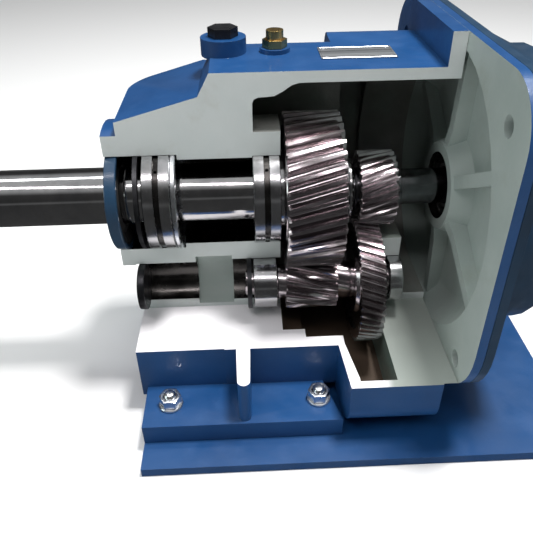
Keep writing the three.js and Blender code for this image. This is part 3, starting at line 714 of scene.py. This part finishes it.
def roller_cage(name, axis, span, low, high, count):
    """Two thin cage rings with a ring of rollers between them."""
    loft = Loft()
    middle, size = (low + high) / 2, (high - low) / 2
    for k in range(count):
        angle = 2 * math.pi * k / count
        centre = axis + Vector((0, middle * MM * math.cos(angle), middle * MM * math.sin(angle)))
        body = size * 0.96
        end = body * 0.85
        rings = [(span[0] + 0.4, end), (span[0] + 1.0, body), (span[1] - 1.0, body), (span[1] - 0.4, end)]
        loft.add([ring_about_x(x, radius, centre, 20) for x, radius in rings], False)
    thickness = 2.3
    cage_low, cage_high = middle - 0.35 * size, middle + 0.35 * size
    for x in (span[0] + 0.1, span[1] - 0.1 - thickness):
        profile = [(x, cage_low), (x, cage_high), (x + thickness, cage_high), (x + thickness, cage_low)]
        loft.add([ring_about_x(u, radius, axis, 64) for u, radius in profile], True)
    node = name + "_rollers"
    finish_piece(node + "_fine", loft.mesh(node), node)


RETAINING_INNER = {"output_snap_ring": 47.5, "layshaft_snap_ring": 20, "gear_retaining_ring": 32.6,
                   "wheel_retaining_ring": 19.1, "pinion_retaining_ring": 16.8}
IN_A_BORE = ("output_snap_ring", "layshaft_snap_ring")


def split_ring(node, axis, gap_angle, centre_angle):
    """A retaining ring with a gap and two ears, which point inwards in a bore and outwards on a shaft."""
    _, low, high = extent(node)
    outer = high.z - axis.z / MM
    inner = RETAINING_INNER[node]
    half = math.radians(gap_angle) / 2
    start = math.radians(centre_angle)
    steps = 80
    rings = []
    for k in range(steps + 1):
        angle = start + half + (2 * math.pi - 2 * half) * k / steps
        near_gap = min(k, steps - k) * 360 / steps < 9
        if node in IN_A_BORE:
            r0, r1 = inner - (0.9 if near_gap else 0), outer
        else:
            r0, r1 = inner + 0.4, outer - (0 if near_gap else 0.6)
        rings.append([Vector((x * MM, axis.y + r * MM * math.cos(angle), axis.z + r * MM * math.sin(angle)))
                      for x, r in ((low.x, r0), (low.x, r1), (high.x, r1), (high.x, r0))])
    lofted(node, rings, False)


def make_rings():
    fine_bearing("outboard_bearing", OUTPUT_AXIS, 18)
    fine_bearing("inboard_bearing", OUTPUT_AXIS, 18)
    fine_bearing("input_bearing", OUTPUT_AXIS, 12)
    fine_bearing("layshaft_left_bearing", LAY_AXIS, 14)
    fine_bearing("layshaft_right_bearing", LAY_AXIS, 14)
    split_ring("output_snap_ring", OUTPUT_AXIS, 24, -125)
    split_ring("layshaft_snap_ring", LAY_AXIS, 30, 60)
    split_ring("gear_retaining_ring", OUTPUT_AXIS, 24, 80)
    split_ring("wheel_retaining_ring", LAY_AXIS, 30, 20)
    split_ring("pinion_retaining_ring", OUTPUT_AXIS, 30, 100)
    turned("spacer_ring", chamfered_ring(-72, -67.5, 46.2, 53.9, 0.8), closed=True)
    # The seal case takes the darker blue copy as painted shade.
    turned("output_seal_case", [(-131.5, 39), (-131.5, 51.6), (-130.8, 52.5), (-121.2, 53.5), (-120.5, 52.8),
                                (-120.5, 49.3), (-127.4, 49), (-128, 48.4), (-128, 39), (-128.6, 38.2),
                                (-130.9, 38.2)], closed=True, material="dark_blue_paint")
    turned("output_seal_lip", [(-127.5, 29.2), (-127.5, 47.6), (-121.7, 47.6), (-121.7, 44.4), (-124.8, 36.5),
                               (-122.7, 30.6), (-123.2, 29), (-125, 28.8)], closed=True)
    turned("input_seal", [(216, 17.4), (216, 31.8), (216.6, 32.4), (223.4, 32.4), (224, 31.8), (224, 17.4),
                          (222, 17), (218, 17)], closed=True)
    turned("layshaft_bore_cap", [(-117, 6), (-117, 19.5), (-115.4, 20.5), (-115.4, 22.6), (-116, 23.4),
                                 (-109.5, 23.9), (-109, 23.4), (-109, 6)], LAY_AXIS)


# ------------------------------------------------------------------ fasteners and plugs
def hexagon(flats):
    """Radius of a hexagon at an angle, for a ring of points."""
    return lambda angle: flats / 2 / math.cos((angle % (math.pi / 3)) - math.pi / 6)


def ring_about_z(z, radius, centre):
    """A circle round a vertical axis. radius is one number or a function of the angle."""
    points = []
    for k in range(HEX_SIDES):
        angle = 2 * math.pi * k / HEX_SIDES
        r = radius(angle) if callable(radius) else radius
        points.append(Vector((centre.x + r * MM * math.cos(angle),
                              centre.y + r * MM * math.sin(angle), z * MM)))
    return points


def hex_rings(flats, z0, z1, centre):
    """Rings of a hexagon with the round chamfers of a turned nut."""
    across = hexagon(flats * 0.998)
    low, high = [], []
    for k in range(HEX_SIDES):
        angle = 2 * math.pi * k / HEX_SIDES
        radius = across(angle) * MM
        drop = (across(angle) - flats * 0.475) * 0.5
        side = Vector((centre.x + radius * math.cos(angle), centre.y + radius * math.sin(angle), 0))
        low.append(side + Vector((0, 0, (z0 + drop) * MM)))
        high.append(side + Vector((0, 0, (z1 - drop) * MM)))
    return low, high


def fine_nut(node):
    """A hexagon nut with chamfered corners and a countersunk hole."""
    centre, low, high = extent(node)
    z0, z1 = low.z, high.z
    flats = high.y - low.y
    face, mouth, hole, sink = flats * 0.47, 7.4, 6.5, 0.9
    side_low, side_high = hex_rings(flats, z0, z1, centre)
    rings = [ring_about_z(z0, mouth, centre), ring_about_z(z0, face, centre), side_low, side_high,
             ring_about_z(z1, face, centre), ring_about_z(z1, mouth, centre),
             ring_about_z(z1 - sink, hole, centre), ring_about_z(z0 + sink, hole, centre)]
    lofted(node, rings, True, FLAT_ANGLE)


def fine_washer(node):
    centre, low, high = extent(node)
    z0, z1 = low.z, high.z
    outer = (high.x - low.x) / 2
    hole = 6.7
    profile = [(z0, hole), (z0, outer - 0.3), (z0 + 0.3, outer), (z1 - 0.6, outer),
               (z1, outer - 0.6), (z1, hole + 0.3), (z1 - 0.3, hole)]
    lofted(node, [ring_about_z(z, radius, centre) for z, radius in profile], True)


THREAD_RADIUS = 6.0
THREAD_PITCH = 1.75
THREAD_DEPTH = 0.75


def thread_radius(z):
    """Radius of the thread's zigzag at a height, for a ring of points."""
    def at(angle):
        turns = z / THREAD_PITCH - angle / (2 * math.pi)
        return THREAD_RADIUS - THREAD_DEPTH * abs(2 * (turns % 1) - 1)
    return at


def fine_stud(node):
    """A stud with a rolled thread at its top and a domed end."""
    centre, low, high = extent(node)
    z0, z1 = low.z, high.z
    thread_start, thread_end = z1 - 18, z1 - 2.2
    steps = 8                         # rings to one turn of the thread
    rings = [ring_about_z(z0, 5.2, centre), ring_about_z(z0 + 0.8, THREAD_RADIUS, centre)]
    for k in range(int((thread_end - thread_start) / THREAD_PITCH * steps) + 1):
        z = thread_start + k * THREAD_PITCH / steps
        rings.append(ring_about_z(z, thread_radius(z), centre))
    for drop, share in ((1.6, 0.86), (0.9, 0.74), (0.35, 0.52), (0.05, 0.2)):
        rings.append(ring_about_z(z1 - drop, THREAD_RADIUS * share, centre))
    lofted(node, rings, False, math.radians(50))


def fine_bolt(node):
    """A flange bolt along X: plain shank and a chamfered hexagon head."""
    axis, low, high = extent(node)
    x0, x1 = low.x, high.x
    flats = min(high.y - low.y, high.z - low.z)
    under_head = x1 - 10
    shank = 7.4
    across = hexagon(flats * 0.998)
    profile = [(x0, 6.2), (x0 + 1.2, shank), (under_head, shank), (under_head, flats * 0.47),
               (under_head + 0.6, across), (x1 - 1.2, across), (x1, flats * 0.46), (x1 - 0.4, flats * 0.3)]
    rings = [ring_about_x(x, radius, axis, HEX_SIDES) for x, radius in profile]
    lofted(node, rings, False, FLAT_ANGLE)


def make_fasteners():
    for index in range(1, 5):
        fine_nut(f"foot_nut_{index}")
        fine_washer(f"foot_washer_{index}")
        fine_stud(f"foot_stud_{index}")
    fine_bolt("flange_bolt_lower")
    fine_bolt("flange_bolt_upper")


def make_name_plate():
    """A blank plate with a raised border and four domed rivets."""
    low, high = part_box("name_plate")
    centre, size = (low + high) / 2, high - low
    thickness = size.z * 0.55
    work = bmesh.new()
    bmesh.ops.create_cube(work, size=1)
    bmesh.ops.scale(work, vec=(size.x, size.y, thickness), verts=work.verts)
    bmesh.ops.translate(work, vec=(centre.x, centre.y, low.z + thickness / 2), verts=work.verts)
    top = max(work.faces, key=lambda face: face.calc_center_median().z)
    border = 0.25 * MM
    for width, rise in ((1.6 * MM, 0.0), (0.5 * MM, border), (0.7 * MM, 0.0), (0.5 * MM, -border)):
        bmesh.ops.inset_individual(work, faces=[top], thickness=width, depth=0)
        bmesh.ops.translate(work, vec=(0, 0, rise), verts=top.verts)
    inset = 5 * MM
    for side_x in (-1, 1):
        for side_y in (-1, 1):
            place = Vector((centre.x + side_x * (size.x / 2 - inset),
                            centre.y + side_y * (size.y / 2 - inset), centre.z))
            made = bmesh.ops.create_uvsphere(work, u_segments=16, v_segments=8, radius=1)
            bmesh.ops.scale(work, vec=(1.7 * MM, 1.7 * MM, 0.5 * MM), verts=made["verts"])
            bmesh.ops.translate(work, vec=place, verts=made["verts"])
    mesh = bpy.data.meshes.new("name_plate")
    work.to_mesh(mesh)
    work.free()
    finish_piece("name_plate_fine", mesh, "name_plate")


# ------------------------------------------------------------------ castings and plates
CUT_BEVEL = 0.25 * MM                 # rounding of the sawn edges


def cast_piece(node, bevel, names, finish=None):
    """A copy of a CAD node with its flat faces made whole, softened edges and a finish for each face."""
    work = bmesh.new()
    work.from_mesh(NODES[node].data)
    bmesh.ops.remove_doubles(work, verts=work.verts, dist=0.01 * MM)
    bmesh.ops.dissolve_limit(work, angle_limit=math.radians(0.6), verts=work.verts, edges=work.edges)
    mesh = bpy.data.meshes.new(node + "_cast")
    work.to_mesh(mesh)
    work.free()
    mesh.materials.clear()
    for name in names:
        mesh.materials.append(MATERIALS[name])
    piece = finish_piece(node + "_cast", mesh, node)
    for face in piece.data.polygons:
        face.material_index = names.index(finish(face.center, face.normal)) if finish else 0
    weigh_edges(piece.data, CUT_BEVEL / bevel)
    soft = piece.modifiers.new("soft_edges", "BEVEL")
    soft.width = bevel
    soft.segments = 3
    soft.limit_method = "WEIGHT"
    soft.use_clamp_overlap = True
    soft.harden_normals = True


def weigh_edges(mesh, cut_share):
    """Sharp edges get the full rounding, except those of the cut planes, which stay crisp."""
    work = bmesh.new()
    work.from_mesh(mesh)
    weight = work.edges.layers.float.new("bevel_weight_edge")
    for edge in work.edges:
        if len(edge.link_faces) != 2 or edge.calc_face_angle(0) < math.radians(38):
            continue
        crisp = any(on_cut(face.calc_center_median(), face.normal) for face in edge.link_faces)
        edge[weight] = cut_share if crisp else 1.0
    work.to_mesh(mesh)
    work.free()


def on_cut(centre, normal):
    """Whether a face lies in one of the two cut planes."""
    upright = normal.y < -0.99 and abs(centre.y - CUT_Y) < PLANE_TOLERANCE
    level = normal.z > 0.99 and abs(centre.z - CUT_Z) < PLANE_TOLERANCE
    return upright or level


# Limits of the castings' surfaces in millimetres, x along the shafts and z from the output shaft's axis.
OUTPUT_BORE = 54.8
LAY_BORE = 27
LAY_WEB = 31.5                        # radius of the cast collar between the layshaft's bores
LAY_WEB_X = (-58.5, -20)
BORE_END_X = 30
JOINT_X = 184
CHAMBER_GEARS = {"x": (3.5, 97.5), "y": 77}
CHAMBER_WHEEL = {"x": (88, 131), "y": 140}
CHAMBER_Z = (-173, 113.5)
SUMP_Z = -140
COVER_HOLLOW = 133.5


def in_chamber(x, y, z):
    """Whether a place is in the narrow part round the gears or the wide part round the wheel."""
    parts = (CHAMBER_GEARS, CHAMBER_WHEEL)
    inside = any(part["x"][0] < x < part["x"][1] and abs(y) < part["y"] for part in parts)
    return inside and CHAMBER_Z[0] < z < CHAMBER_Z[1]


def housing_finish(centre, normal):
    """Blue outside, pale on the cuts with painted light on the level cut, painted shade inside the chamber and a
    dark brown sump floor, machined bores darkened with painted shade.
    """
    x, y = centre.x / MM, centre.y / MM
    z = (centre.z - OUTPUT_AXIS.z) / MM
    if on_cut(centre, normal):
        # One primer on both cuts; the level cut takes the brighter copy as painted light.
        return "white_primer" if normal.z > 0.99 else "casting"
    off_output = math.hypot(y, z)
    off_lay = math.hypot(centre.y - LAY_AXIS.y, centre.z - LAY_AXIS.z) / MM
    in_output_bore = off_output < OUTPUT_BORE and x < BORE_END_X
    # Bore walls take the near-black bore finish as painted shade.
    if abs(normal.x) < 0.5 and (in_output_bore or off_lay < LAY_BORE):
        return "machined_bore"
    if off_lay < LAY_WEB and LAY_WEB_X[0] < x < LAY_WEB_X[1]:
        return "green_primer"
    if in_output_bore or off_lay < LAY_BORE or (x > JOINT_X - 0.1 and normal.x > 0.9):
        return "casting"
    if in_chamber(x, y, z):
        if x < BORE_END_X - 1 and normal.x > 0.9 and z < 75:
            return "green_primer"
        # Chamber walls take the dark interior colour as painted shade; the sump's level floor is dark brown.
        return "sump" if normal.z > 0.9 and z < SUMP_Z else "interior"
    # The hollow towards the cover also takes the painted shade.
    if CHAMBER_WHEEL["x"][1] - 3 < x < JOINT_X + 0.2 and off_output < COVER_HOLLOW:
        return "interior"
    return "blue_paint"


def in_flange_hole(centre, normal):
    """Whether a face is the wall of one of the four corner holes."""
    across, up = abs(centre.y) / MM - 128, abs(centre.z - OUTPUT_AXIS.z) / MM - 113
    return abs(normal.x) < 0.5 and math.hypot(across, up) < 10


def cover_finish(centre, normal):
    """Pale inside and on the joint face, blue on the rim and the back, the corner holes' walls in the darker green
    primer as painted shade, and the hub's machined bore darkened with painted shade.
    """
    x = centre.x / MM
    off_axis = math.hypot(centre.y, centre.z - OUTPUT_AXIS.z) / MM
    hub_bore, dish, dish_floor_x = 34, 141, 213
    # The hub's bore is darkened as painted shade.
    if off_axis < hub_bore and abs(normal.x) < 0.5:
        return "machined_bore"
    joint_face = x < JOINT_X + 0.6 and normal.x < -0.9
    inside_dish = off_axis < dish and x < dish_floor_x and normal.x < 0.45
    # The corner holes' walls take the darker green primer as painted shade.
    if joint_face or inside_dish or in_flange_hole(centre, normal):
        return "green_primer"
    return "blue_paint"


def make_castings():
    cast_piece("gear_housing", 2.2 * MM,
               ["blue_paint", "casting", "white_primer", "green_primer", "interior", "sump", "machined_bore"],
               housing_finish)
    cast_piece("input_cover", 3 * MM, ["blue_paint", "green_primer", "machined_bore"], cover_finish)
    # The motor adapter takes the darker blue copy as painted shade.
    cast_piece("motor_adapter", 2 * MM, ["dark_blue_paint"])
    cast_piece("base_plate", 1 * MM, ["blue_paint"])


def make_small_parts():
    for node in ("output_key", "filler_plug", "oil_level_plug", "breather_plug"):
        cast_piece(node, 0.6 * MM, [SLOT_OF[node]])


make_camera()
make_lights()
make_floor()
make_castings()
make_gears()
make_input_shaft()
make_output_shaft()
make_rings()
make_fasteners()
make_name_plate()
make_small_parts()
